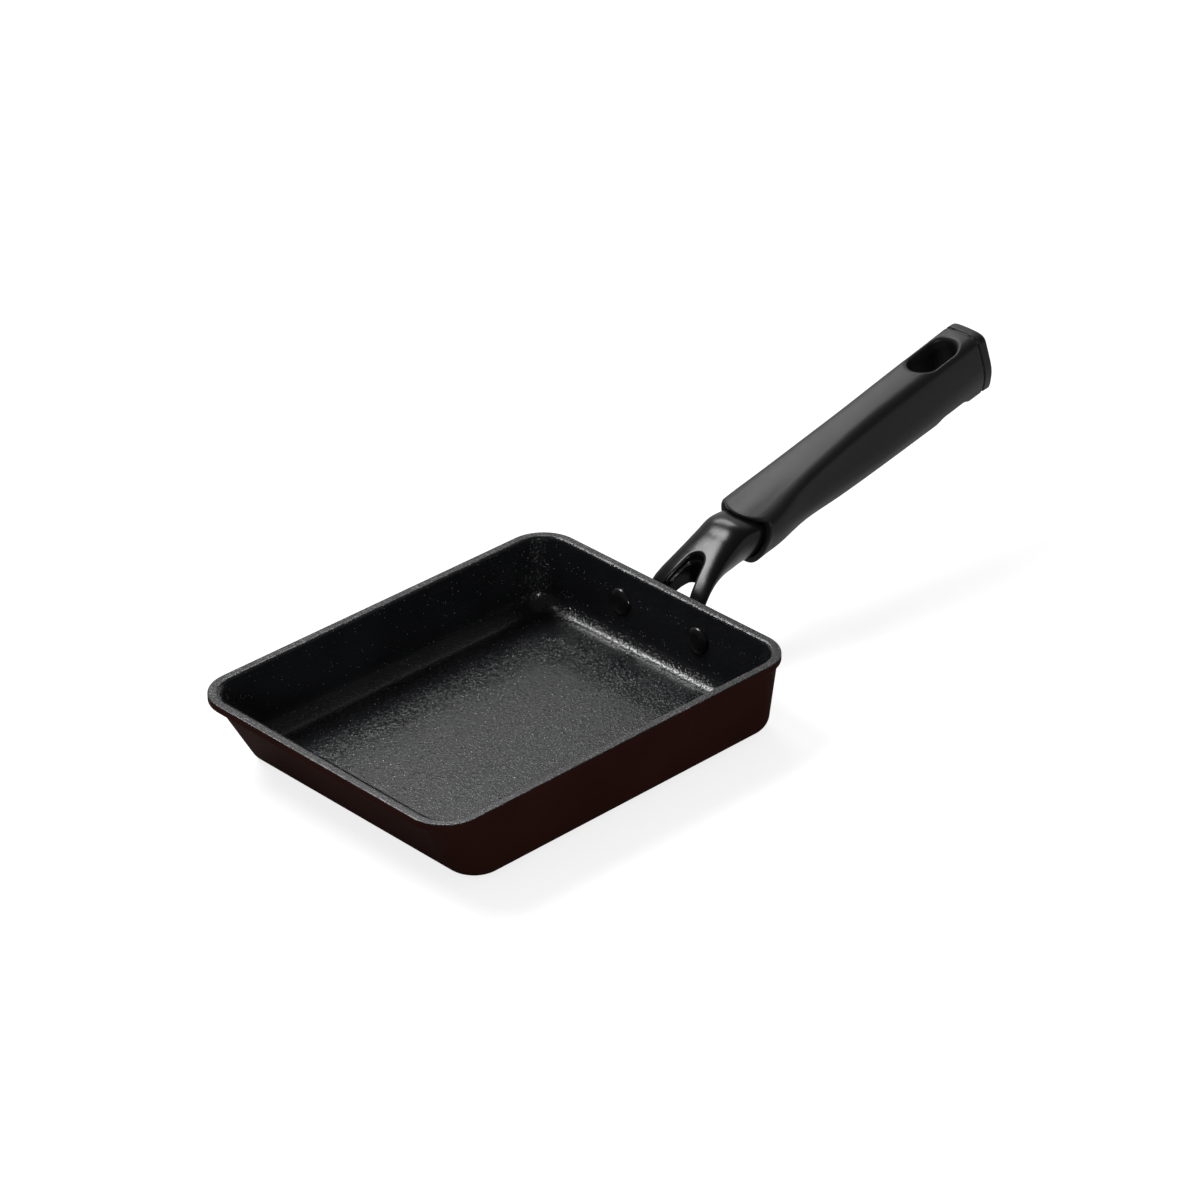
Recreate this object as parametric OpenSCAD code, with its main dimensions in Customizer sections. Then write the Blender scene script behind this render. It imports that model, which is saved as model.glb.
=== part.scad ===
// Rectangular omelette pan in millimetres, +Z up, +X toward the grip.
// A cast body with a raked tip wall stands on a steel base plate. Two rivets hold a forked cast
// bracket on the handle wall, and the bracket's tang carries a moulded grip with an end cap.
// The origin is the centre of the base plate's underside.

/* [Pan body] */
// Length of the rim, outside
rim_length = 184; // [165:1:215]
// Width of the rim, outside
rim_width = 140; // [120:1:170]
// Height of the rim above the underside
pan_height = 34; // [31:1:44]
// Plan radius of the rim corners, outside
rim_corner_r = 16; // [12:0.5:20]
// Plan radius of the corners at the foot of the walls
base_corner_r = 13.5; // [10:0.5:16]
// Thickness of the walls
wall = 3; // [2.4:0.1:3.6]
// Thickness of the floor
floor_t = 3.4; // [3:0.1:5]
// How far the rim lip stands out from the walls
lip_out = 1.1; // [0.6:0.1:2]
// Height of the upright face of the rim lip
lip_height = 2.7; // [2:0.1:5]
// Width of the chamfer on the inner edge of the rim
rim_chamfer = 0.7; // [0.3:0.1:1]
// Rake of the tip wall, from upright
tip_rake = 29.5; // [15:0.5:35]
// Draft of the two long walls
side_draft = 5; // [1:0.5:8]
// Draft of the handle wall
handle_draft = 5.5; // [1:0.5:7]
// Radius of the outer edge between walls and underside
outer_fillet = 6.5; // [4:0.5:8]
// Radius of the inner edge between walls and floor
inner_fillet = 8.5; // [6:0.5:9.5]

/* [Base plate] */
// Width of the margin of bare casting round the base plate
base_margin = 9; // [7.5:0.5:14]
// Plan radius of the base plate's corners
base_plate_r = 12.5; // [6:0.5:20]
// Thickness of the base plate
base_t = 1.6; // [1.2:0.1:2]
// How far the base plate stands below the casting
base_proud = 0.7; // [0.3:0.1:1]

/* [Rivets] */
// Distance between the rivet axes
rivet_spacing = 42.6; // [40:0.2:48]
// Depth of the rivet axes below the rim
rivet_drop = 13.8; // [13:0.1:15]
// Diameter of the rivet shanks
rivet_d = 5; // [4:0.1:6]
// Diameter of the domed heads inside the pan
rivet_head_d = 11.4; // [9:0.1:13]
// Height of the domed heads
rivet_head_h = 2.2; // [1.5:0.1:3]
// Diameter of the formed heads outside
rivet_tail_d = 8.6; // [7.5:0.1:9]
// Height of the formed heads
rivet_tail_h = 1.9; // [1.2:0.1:2.5]

/* [Bracket] */
// Thickness of the bracket's foot on the pan wall
foot_t = 3; // [2.4:0.1:4]
// Radius of the foot's ears round the rivets
ear_r = 8; // [6.8:0.1:8.2]
// Half width of the neck where it enters the grip
neck_half_w = 10.5; // [10:0.1:11.6]
// Height of the neck's crown above its parting line, at the grip
neck_crown = 4.3; // [3.6:0.1:5]
// Depth of the neck's belly below its parting line, at the grip
neck_belly = 15.9; // [14:0.1:16]
// Half width of the fork over its legs at the height of the rim
fork_half_w = 14; // [12.5:0.1:15]
// Radius of the round end of the fork's slot
slot_end_r = 3.9; // [3.4:0.1:5]
// Half width of the fork's slot at the pan wall
slot_root_half_w = 7.2; // [6.6:0.1:8.6]
// Horizontal distance from the rim to the centre of the slot's round end
slot_reach = 13; // [11:0.1:15]
// Step of the slot's walls at the parting line
parting_step = 0.5; // [0.3:0.1:0.8]
// Width of the tang inside the grip
tang_w = 13; // [9:0.5:14]
// Height of the tang
tang_h = 8; // [6:0.5:9]
// Length of the tang past the neck's shoulder
tang_l = 40; // [30:1:50]

/* [Grip] */
// Length of the grip along its axis, from its mouth to the end cap
grip_length = 128; // [110:1:150]
// Upward tilt of the grip
grip_tilt = 14.25; // [8:0.25:18]
// Horizontal reach from the rim to the grip's mouth
grip_reach = 42.6; // [41:0.1:47]
// Height of the grip's top edge over the mouth, above the rim
grip_rise = 19.5; // [17:0.1:20.5]
// Height of the grip at its mouth
mouth_h = 24.8; // [24.4:0.1:27]
// Height of the grip at its waist
waist_h = 22.1; // [21.4:0.1:24]
// Height of the grip at its rear end
rear_h = 28.2; // [25:0.1:32]
// Width of the grip at its mouth
mouth_w = 28.6; // [28:0.2:34]
// Width of the grip at its middle
middle_w = 22.2; // [21:0.2:26]
// Width of the grip at its rear end
rear_w = 21; // [20:0.2:26]
// Thickness of the lip over the mouth
lip_t = 2.8; // [2.2:0.1:3.2]
// How far the lip stands out over the mouth
lip_reach = 5.4; // [1.5:0.1:6]
// Plan radius of the lip's front edge
lip_r = 17; // [15:0.5:24]
// Depth of the neck's seat inside the mouth
seat_depth = 6; // [4:0.5:8]
// Length of the hanging slot, over its round ends
hang_l = 23.5; // [18:0.5:28]
// Width of the hanging slot
hang_w = 13; // [8:0.2:13.4]
// Width of the chamfer round the hanging slot
hang_chamfer = 1.3; // [0.4:0.1:1.4]
// Distance from the rear end to the near end of the hanging slot
hang_from_rear = 5.6; // [5:0.1:12]

/* [End cap and screw] */
// Length of the end cap
cap_l = 5.5; // [4:0.5:10]
// Width of the bevel round the cap's rear face
cap_bevel = 1.4; // [0.8:0.1:2]
// How far the cap's rear face sits below the grip's own section
cap_drop = 0.7; // [0:0.1:1.2]
// Depth of the groove between the grip and its cap
cap_groove = 0.7; // [0.4:0.1:1.2]
// Width of the groove
cap_groove_w = 0.8; // [0.5:0.1:1.2]
// Diameter of the cap's spigot
spigot_d = 10; // [7:0.5:12]
// Length of the cap's spigot inside the grip
spigot_l = 3.5; // [2.5:0.5:4.5]
// Diameter of the grip screw
screw_d = 4.8; // [4:0.1:5.5]
// Diameter of its head
screw_head_d = 9; // [8:0.1:10]
// Height of its head
screw_head_h = 2.2; // [2:0.1:2.6]
// Thickness of the grip between the screw head and the tang
screw_land = 3; // [2.4:0.1:3.4]
// Distance of the screw's axis behind the neck's shoulder
screw_back = 24; // [16:0.5:28]

/* [Fit and detail] */
// Gap between pieces that slip into each other
clearance = 0.3; // [0.2:0.05:0.4]
// Points along each quarter of a cast section
section_steps = 8; // [5:1:10]
// Facets round the plan corners of the body
corner_fn = 48; // [32:4:64]

/* [Hidden] */
$fn = 48;
eps = 0.01;
far = 200;

// Heights of the casting's underside, the floor and the lip's underside
casting_z = base_proud;
floor_z = casting_z + floor_t;
lip_z = pan_height - lip_height;

// Sizes of the underside, and plan positions of the walls' outer faces at the height of the rim
wall_run = pan_height - casting_z;
tip_in = wall_run * tan(tip_rake);
side_in = wall_run * tan(side_draft);
handle_in = wall_run * tan(handle_draft);
base_length = rim_length - 2 * lip_out - tip_in - handle_in;
base_width = rim_width - 2 * lip_out - 2 * side_in;
wall_x_tip = -base_length / 2 - tip_in;
wall_x_handle = base_length / 2 + handle_in;
rim_x = wall_x_handle + lip_out;

// Plan position of each wall's outer face at height z: [tip x, handle x, half width]
function walls_at(z) = [
    wall_x_tip + (pan_height - z) * tan(tip_rake),
    wall_x_handle - (pan_height - z) * tan(handle_draft),
    rim_width / 2 - lip_out - (pan_height - z) * tan(side_draft)
];

// The same planes moved in square to themselves by t
function inner_walls_at(z, t) = [
    walls_at(z)[0] + t / cos(tip_rake),
    walls_at(z)[1] - t / cos(handle_draft),
    walls_at(z)[2] - t / cos(side_draft)
];

// Rivet seat on the handle wall's outer face
rivet_z = pan_height - rivet_drop;
rivet_x = walls_at(rivet_z)[1];

// Point in the side view at u along the grip's top line and n above it: [reach, rise]
function grip_point(u, n) = [
    grip_reach + u * cos(grip_tilt) - n * sin(grip_tilt),
    grip_rise + u * sin(grip_tilt) + n * cos(grip_tilt)
];

// Stations of the bracket's casting. Each holds the reach and the rise of the top line, the tilt
// of the section, its half width, the crown above the parting line and the belly below it.
crown_n = -lip_t - clearance;
shoulder_u = seat_depth;
mouth_point = grip_point(-1, crown_n);
bracket_stations = [
    [-3.0, -20.0, 80, fork_half_w + 0.6, 2.2, 3.0],
    [-0.2, -12.5, 76, fork_half_w + 0.6, 2.2, 4.2],
    [1.9, -7.2, 64, fork_half_w + 0.6, 2.2, 5.6],
    [4.5, -2.8, 48, fork_half_w + 0.3, 2.2, 6.4],
    [8.1, 0.9, 38, fork_half_w - 0.6, 2.3, 7.8],
    [12.4, 4.4, 33, fork_half_w - 1.7, 2.6, 9.7],
    [18.4, 8.7, 25, neck_half_w + 0.8, 3.2, 12.2],
    [24.6, 12.6, 20, neck_half_w + 0.2, 3.8, 14.9],
    [32.0, 16.3, 14, neck_half_w, 4.2, 16.9],
    [mouth_point[0], mouth_point[1], grip_tilt, neck_half_w, neck_crown, neck_belly]
];
crown_power = 2.7;
belly_power = 1.6;

// Stations of the grip. Each holds the share of the length, the height of the crown, and then
// half width and height of the top edge, the shoulder, the side, the lower edge and the bottom.
grip_stations = [
    [0.00, 0.3, 12.1, -1.0, mouth_w / 2, -4.6, mouth_w / 2 - 1.1, -10.5, 8.8, 5.1 - mouth_h, 3.4, -mouth_h],
    [0.06, 0.5, 11.7, -0.5, mouth_w / 2 - 0.6, -4.6, mouth_w / 2 - 1, -11, 8.6, 4.4 - mouth_h, 3.8, 0.7 - mouth_h],
    [0.18, 1.2, 10.5, 0.7, middle_w / 2 + 0.2, -4.6, middle_w / 2 + 1.1, -12.4, 8.0, 2.3 - waist_h, 4.6, -waist_h],
    [0.34, 1.8, 9.5, 1.4, middle_w / 2 - 1.1, -5, middle_w / 2 + 0.3, -14, 7.9, 0.3 - waist_h, 5, -1.8 - waist_h],
    [0.52, 2.2, 8.7, 1.7, middle_w / 2 - 1.4, -6, middle_w / 2, -16.6, 7.7, 4.7 - rear_h, 5.2, 2.8 - rear_h],
    [0.75, 1.9, 8.7, 1.4, rear_w / 2 - 0.8, -6, rear_w / 2 + 0.3, -17.6, 7.5, 3.1 - rear_h, 5.4, 1.3 - rear_h],
    [1.00, 1.2, 8.9, 0.6, rear_w / 2 - 0.8, -6.5, rear_w / 2, -17, 7.5, 1.6 - rear_h, 5.8, -rear_h]
];
grip_edge_r = 4.6;

// Catmull-Rom value of the rows of a table at a real-valued row number
function spline_at(rows, k) = let (
    i = min(max(floor(k), 0), len(rows) - 2),
    f = k - i,
    a = rows[max(i - 1, 0)],
    b = rows[i],
    c = rows[i + 1],
    d = rows[min(i + 2, len(rows) - 1)]
) 0.5 * (2 * b + (c - a) * f + (2 * a - 5 * b + 4 * c - d) * f * f
    + (3 * b - a - 3 * c + d) * f * f * f);

// Superellipse quarters: x across and y up, with the crown over and the belly under the x axis
function oval_point(a, w, crown, belly) = let (
    c = cos(a),
    s = sin(a),
    power = s < 0 ? belly_power : crown_power
) [
    sign(c) * w * pow(abs(c), 2 / power),
    (s < 0 ? -belly : crown) * pow(abs(s), 2 / power)
];

function oval(w, crown, belly) = [
    for (i = [0:4 * section_steps - 1]) oval_point(-i * 90 / section_steps, w, crown, belly)
];

// Polygon with each corner replaced by a short curve that starts r before it
function eased(corners, r) = [
    for (i = [0:len(corners) - 1])
        let (
            p = corners[i],
            a = corners[(i + len(corners) - 1) % len(corners)],
            b = corners[(i + 1) % len(corners)],
            from = p + (a - p) * min(r / norm(a - p), 0.48),
            to = p + (b - p) * min(r / norm(b - p), 0.48)
        )
        for (t = [0:0.25:1]) (1 - t) * (1 - t) * from + 2 * t * (1 - t) * p + t * t * to
];

// Cross-section of the grip from a station, drawn in by inset and lowered by drop
function grip_section(row, inset = 0, drop = 0) = let (
    side = [for (i = [2, 4, 6, 8, 10]) [row[i] - inset, row[i + 1] - drop - (i < 6 ? inset : i > 6 ? -inset : 0)]],
    mirrored = [for (i = [4:-1:0]) [-side[i][0], side[i][1]]]
) eased(concat(side, mirrored, [[0, row[1] - drop - inset]]), grip_edge_r);

// Closed solid through rings of points that all have the same count
module loft(rings) {
    n = len(rings[0]);
    last = len(rings) - 1;
    polyhedron(
        points = [for (ring = rings) for (p = ring) p],
        faces = concat(
            [[for (j = [n - 1:-1:0]) j]],
            [for (i = [0:last - 1]) for (j = [0:n - 1])
                [i * n + j, i * n + (j + 1) % n, (i + 1) * n + (j + 1) % n]],
            [for (i = [0:last - 1]) for (j = [0:n - 1])
                [i * n + j, (i + 1) * n + (j + 1) % n, (i + 1) * n + j]],
            [[for (j = [0:n - 1]) last * n + j]]
        ),
        convexity = 6
    );
}

// Thin slice or rounded foot of a body corner
module corner_slice(r, h = eps) {
    cylinder(r = r, h = h, $fn = corner_fn);
}

module corner_foot(r, fillet) {
    rotate_extrude($fn = corner_fn)
        intersection() {
            translate([r, fillet])
                circle(r = fillet, $fn = 32);
            square([r + fillet, 2 * fillet]);
        }
}

// Copies at the two corners of the plan rectangle at one end, r inside its edges
module at_end(end, walls, r, z) {
    x = end == 0 ? walls[0] + r : walls[1] - r;
    for (y = [-1, 1])
        translate([x, y * (walls[2] - r), z])
            children();
}

module at_corners(walls, r, z) {
    for (end = [0, 1])
        at_end(end, walls, r, z)
            children();
}

// Solid between the walls moved in by t, from foot_z to top_z, with a rounded edge at its foot
module tub(t, top_r, top_z, foot_r, foot_z, fillet) {
    centres = inner_walls_at(foot_z, t) + fillet * [
        tan(45 - tip_rake / 2), -tan(45 - handle_draft / 2), -tan(45 - side_draft / 2)
    ];
    hull() {
        at_corners(inner_walls_at(top_z, t), top_r, top_z - eps)
            corner_slice(top_r);
        for (end = [0, 1]) {
            z = foot_z + fillet * (1 + sin(end == 0 ? tip_rake : max(side_draft, handle_draft)));
            at_end(end, inner_walls_at(z, t), foot_r, z)
                corner_slice(foot_r);
        }
        at_corners(centres, foot_r - fillet, foot_z)
            corner_foot(foot_r - fillet, fillet);
    }
}

// Frames of the pieces on the handle wall and along the grip
module on_wall(y) {
    translate([rivet_x, y, rivet_z])
        rotate([0, 90 + handle_draft, 0])
            children();
}

module in_grip() {
    translate([rim_x + grip_reach, 0, pan_height + grip_rise])
        rotate([0, -grip_tilt, 0])
            children();
}

// Turns an outline drawn across and up into a prism along +X, from x0 over the length l
module along_x(x0, l) {
    translate([x0, 0, 0])
        rotate([90, 0, 90])
            linear_extrude(height = l)
                children();
}

module rivet_holes(d) {
    for (side = [-1, 1])
        on_wall(side * rivet_spacing / 2)
            cylinder(d = d, h = 3 * (wall + foot_t), center = true);
}

// Outline of the base plate: a rectangle with round corners
module base_outline() {
    x = base_length / 2 - base_margin;
    y = base_width / 2 - base_margin;
    square([2 * x, 2 * (y - base_plate_r)], center = true);
    square([2 * (x - base_plate_r), 2 * y], center = true);
    for (sx = [-1, 1])
        for (sy = [-1, 1])
            translate([sx * (x - base_plate_r), sy * (y - base_plate_r)])
                circle(r = base_plate_r);
}

module pan_body() {
    inner_top = inner_walls_at(pan_height, wall);
    inner_r = rim_corner_r - lip_out - wall;
    inner_foot_r = base_corner_r - wall / 2;
    color("#241513")
        difference() {
            union() {
                tub(0, rim_corner_r - lip_out, pan_height, base_corner_r, casting_z, outer_fillet);
                rim_lip();
            }
            tub(wall, inner_r, pan_height + 1, inner_foot_r, floor_z, inner_fillet);
            hull() {
                at_corners(inner_top, inner_r, pan_height - rim_chamfer)
                    corner_slice(inner_r);
                at_corners(inner_top + rim_chamfer * [-1, 1, 1], inner_r + rim_chamfer, pan_height)
                    corner_slice(inner_r + rim_chamfer);
            }
            translate([0, 0, casting_z - eps])
                linear_extrude(height = base_t - base_proud + eps)
                    base_outline();
            rivet_holes(rivet_d);
        }
}

// Lip round the rim, running back into the walls below
module rim_lip() {
    rim_walls = walls_at(pan_height) + lip_out * [-1, 1, 1];
    foot_z = lip_z - 2 * lip_out;
    hull() {
        at_corners(rim_walls, rim_corner_r, lip_z)
            corner_slice(rim_corner_r, lip_height);
        at_corners(walls_at(foot_z), rim_corner_r - lip_out, foot_z)
            corner_slice(rim_corner_r - lip_out);
    }
}

module base_plate() {
    color("#9b9da0")
        linear_extrude(height = base_t)
            base_outline();
}

module rivets() {
    color("#2a2b2d")
        for (side = [-1, 1])
            on_wall(side * rivet_spacing / 2)
                rivet();
}

// Shank through wall and foot, a domed head inside the pan and a formed head outside
module rivet() {
    translate([0, 0, -wall])
        cylinder(d = rivet_d, h = wall + foot_t);
    translate([0, 0, -wall])
        rotate([180, 0, 0])
            dome(rivet_head_d, rivet_head_h);
    translate([0, 0, foot_t])
        dome(rivet_tail_d, rivet_tail_h);
}

// Spherical cap of diameter d and height h
module dome(d, h) {
    r = (d * d / 4 + h * h) / (2 * h);
    rotate_extrude()
        intersection() {
            translate([0, h - r])
                circle(r = r, $fn = 72);
            square([d / 2, h]);
        }
}

// Rows of the casting: along the spline to the mouth, then straight to the shoulder in the grip
station_steps = 3;
shoulder_row = concat(grip_point(shoulder_u, crown_n), [grip_tilt, neck_half_w, neck_crown, neck_belly]);
bracket_rows = [
    for (k = [0:station_steps * (len(bracket_stations) - 1)])
        spline_at(bracket_stations, k / station_steps),
    shoulder_row
];

// Places an outline, drawn across and up from the parting line, at a row of the casting
function bracket_ring(row, outline) = [
    for (p = outline) [
        rim_x + row[0] - (p[1] - row[4]) * sin(row[2]),
        p[0],
        pan_height + row[1] + (p[1] - row[4]) * cos(row[2])
    ]
];

module bracket() {
    color("#17181a")
        difference() {
            union() {
                loft([for (row = bracket_rows) bracket_ring(row, oval(row[3], row[4], row[5]))]);
                foot();
                tang();
            }
            fork_slot(0);
            intersection() {
                fork_slot(parting_step);
                above_parting();
            }
            pan_side();
            rivet_holes(rivet_d);
            screw_hole();
        }
}

// Plate on the pan wall with an ear round each rivet
module foot() {
    hull()
        for (side = [-1, 1])
            on_wall(side * rivet_spacing / 2)
                cylinder(r = ear_r, h = foot_t);
}

// Everything behind the handle wall's outer face
module pan_side() {
    translate([rivet_x, 0, rivet_z])
        rotate([0, handle_draft, 0])
            translate([-far, -far / 2, -far / 2])
                cube([far, far, far]);
}

// Through slot of the fork: round at the neck, widening to the pan wall
module fork_slot(grow) {
    translate([0, 0, pan_height - far / 2])
        linear_extrude(height = far)
            hull() {
                translate([rim_x + slot_reach, 0])
                    circle(r = slot_end_r + grow);
                translate([walls_at(pan_height)[1] + foot_t, 0])
                    square([eps, 2 * (slot_root_half_w + grow)], center = true);
            }
}

// Space above the bracket's parting line
module above_parting() {
    half_w = fork_half_w + 2;
    up = 2 * neck_belly;
    loft([for (row = bracket_rows) bracket_ring(row, [[-half_w, 0], [-half_w, up], [half_w, up], [half_w, 0]])]);
}

// Heights of the tang's axis and of the screw head's seat, and the screw's place along the grip
tang_n = crown_n - (neck_crown + neck_belly) / 2;
screw_seat_n = tang_n - tang_h / 2 - screw_land;
screw_u = shoulder_u + screw_back;

// Bar on the neck's shoulder that carries the grip
module tang() {
    root = seat_depth / 2;
    in_grip()
        translate([shoulder_u - root, -tang_w / 2, tang_n - tang_h / 2])
            cube([tang_l + root, tang_w, tang_h]);
}

// Blind hole for the grip screw, from the tang's underside
module screw_hole() {
    in_grip()
        translate([screw_u, 0, tang_n - tang_h / 2 - eps])
            cylinder(d = screw_d, h = tang_h - 1);
}

function grip_row(share) = let (
    i = max([for (j = [0:len(grip_stations) - 2]) grip_stations[j][0] <= share ? j : 0]),
    f = (share - grip_stations[i][0]) / (grip_stations[i + 1][0] - grip_stations[i][0])
) spline_at(grip_stations, i + f);

function grip_ring(u, outline) = [for (p = outline) [u, p[0], p[1]]];

grip_steps = 16;

module grip() {
    color("#232427")
        difference() {
            in_grip()
                difference() {
                    loft(concat(
                        [grip_ring(-mouth_h / 2, grip_section(grip_row(0)))],
                        [for (k = [0:grip_steps])
                            grip_ring(k / grip_steps * grip_length, grip_section(grip_row(k / grip_steps)))]
                    ));
                    mouth_front();
                    tang_socket();
                    hanging_slot();
                    cap_seat();
                    screw_seat();
                }
            neck_seat();
        }
}

// Upright mouth face, with the lip left standing over it
module mouth_front() {
    difference() {
        rotate([0, grip_tilt, 0])
            translate([-far, -far / 2, -far / 2])
                cube([far, far, far]);
        translate([lip_r - lip_reach, 0, -lip_t])
            cylinder(r = lip_r, h = far / 4);
    }
    translate([-far - lip_reach, -far / 2, -far / 2])
        cube([far, far, far]);
}

// Recess for the bracket's neck: the last stretch of its casting, grown by the clearance
module neck_seat() {
    first = len(bracket_rows) - station_steps - 2;
    loft(concat(
        [for (i = [first:len(bracket_rows) - 1]) neck_space(bracket_rows[i])],
        [neck_space(concat(grip_point(shoulder_u + clearance, crown_n), [for (i = [2:5]) shoulder_row[i]]))]
    ));
}

function neck_space(row) = bracket_ring(row, oval(row[3] + clearance, row[4] + clearance, row[5] + clearance));

module tang_socket() {
    translate([shoulder_u, -tang_w / 2 - clearance, tang_n - tang_h / 2])
        cube([tang_l + clearance, tang_w + 2 * clearance, tang_h + clearance]);
}

module hanging_slot() {
    far_end = grip_length - hang_from_rear;
    centres = [far_end - hang_w / 2, far_end - hang_l + hang_w / 2];
    hull()
        for (u = centres)
            translate([u, 0, -far / 4])
                cylinder(d = hang_w, h = far / 2);
    hull()
        for (u = centres)
            translate([u, 0, grip_row(1 - hang_from_rear / grip_length)[1] - 2 * hang_chamfer])
                cylinder(d1 = hang_w, d2 = hang_w + 4 * hang_chamfer, h = 3 * hang_chamfer);
}

// Socket for the cap's spigot in the rear end
module cap_seat() {
    translate([grip_length - spigot_l - clearance, 0, -rear_h / 2])
        rotate([0, 90, 0])
            cylinder(d = spigot_d + 2 * clearance, h = spigot_l + 2 * clearance);
}

// Bore for the screw and the recess for its head
module screw_seat() {
    translate([screw_u, 0, -far / 4])
        cylinder(d = screw_d + 2 * clearance, h = far / 4 + tang_n);
    translate([screw_u, 0, screw_seat_n - far / 4])
        cylinder(d = screw_head_d + 2 * clearance, h = far / 4);
}

module end_cap() {
    rear = grip_row(1);
    color("#232427")
        in_grip() {
            loft([
                grip_ring(grip_length, grip_section(rear, cap_groove)),
                grip_ring(grip_length + cap_groove_w, grip_section(rear, cap_groove)),
                grip_ring(grip_length + cap_groove_w + eps, grip_section(rear)),
                grip_ring(grip_length + cap_l - cap_bevel, grip_section(rear, 0, cap_drop * 2 / 3)),
                grip_ring(grip_length + cap_l - cap_bevel / 3, grip_section(rear, cap_bevel / 3, cap_drop)),
                grip_ring(grip_length + cap_l, grip_section(rear, cap_bevel, cap_drop))
            ]);
            translate([grip_length - spigot_l, 0, -rear_h / 2])
                rotate([0, 90, 0])
                    cylinder(d = spigot_d, h = spigot_l + cap_l / 2);
        }
}

module grip_screw() {
    color("#8a8c8f")
        in_grip()
            translate([screw_u, 0, screw_seat_n]) {
                cylinder(d = screw_d, h = screw_land + tang_h - 2);
                translate([0, 0, -screw_head_h])
                    cylinder(d = screw_head_d, h = screw_head_h);
            }
}

pan_body();
base_plate();
rivets();
bracket();
grip();
end_cap();
grip_screw();
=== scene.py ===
"""Rectangular omelette pan, dressed for a product picture.

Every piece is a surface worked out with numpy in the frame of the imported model: lofted shells for
the body, the base plate and the cap, revolved profiles for the rivets and the screw, and implicit
forms with blended edges for the cast bracket and the moulded grip.
"""

import logging
import math
from dataclasses import dataclass, field
from enum import Enum
from typing import Callable, Optional, Sequence, Union

import bmesh
import bpy
import numpy as np
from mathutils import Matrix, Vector


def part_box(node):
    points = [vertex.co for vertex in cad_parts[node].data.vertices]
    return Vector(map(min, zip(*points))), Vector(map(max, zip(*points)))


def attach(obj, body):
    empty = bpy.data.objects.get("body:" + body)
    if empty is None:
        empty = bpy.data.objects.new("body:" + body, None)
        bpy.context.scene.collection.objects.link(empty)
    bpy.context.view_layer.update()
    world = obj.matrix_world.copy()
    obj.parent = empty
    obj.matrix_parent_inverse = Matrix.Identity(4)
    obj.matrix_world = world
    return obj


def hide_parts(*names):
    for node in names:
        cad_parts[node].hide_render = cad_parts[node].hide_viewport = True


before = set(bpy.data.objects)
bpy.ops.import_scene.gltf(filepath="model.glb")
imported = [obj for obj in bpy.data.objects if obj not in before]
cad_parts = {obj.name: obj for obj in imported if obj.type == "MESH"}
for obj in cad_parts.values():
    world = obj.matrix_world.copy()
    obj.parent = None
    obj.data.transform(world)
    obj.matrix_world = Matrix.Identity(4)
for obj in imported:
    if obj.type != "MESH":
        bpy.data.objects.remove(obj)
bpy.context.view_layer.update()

LOG = logging.getLogger("pan")
MM = 0.001
BODY = "root"

Array = np.ndarray
Colour = tuple[float, float, float]
Form = Callable[[Array, Array, Array], Array]


class Slot(Enum):
    """Names of the material slots; each piece is passed one, but nothing reads it."""

    BODY = "coated_body"
    BASE = "base_steel"
    RIVET = "coated_rivet"
    BRACKET = "black_enamel"
    GRIP = "moulded_grip"
    CAP = "moulded_cap"
    SCREW = "screw_steel"


@dataclass(frozen=True)
class BodySize:
    """Sizes of the cast body and its base plate, in millimetres and degrees."""

    height: float = 34.0
    half_width: float = 70.0
    rim_corner: float = 16.0
    foot_corner: float = 13.5
    wall: float = 3.0
    floor: float = 3.4
    lip_out: float = 1.1
    lip_height: float = 2.7
    chamfer: float = 0.7
    outer_round: float = 0.45
    inner_round: float = 1.2
    tip_rake: float = 29.5
    side_draft: float = 5.0
    handle_draft: float = 5.5
    outer_fillet: float = 6.5
    inner_fillet: float = 8.5
    foot_z: float = 0.7
    base_corner: float = 12.5
    base_thickness: float = 1.6

    @property
    def floor_z(self) -> float:
        """Height of the cooking floor."""
        return self.foot_z + self.floor

    def rim_x(self) -> float:
        """Where the rim ends on the handle side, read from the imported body."""
        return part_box("pan_body")[1].x / MM

    def tip_x(self) -> float:
        """Where the rim ends on the tip side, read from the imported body."""
        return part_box("pan_body")[0].x / MM

    def wall_x(self, z: float) -> float:
        """Plan position of the handle wall's outer face at height z."""
        return self.rim_x() - self.lip_out - (self.height - z) * math.tan(math.radians(self.handle_draft))


@dataclass(frozen=True)
class RivetSize:
    """Sizes of the two rivets, in millimetres."""

    half_spacing: float = 21.3
    drop: float = 13.8
    head_r: float = 5.7
    head_h: float = 2.2
    tail_r: float = 4.3
    tail_h: float = 1.9
    shank_r: float = 2.5


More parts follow.
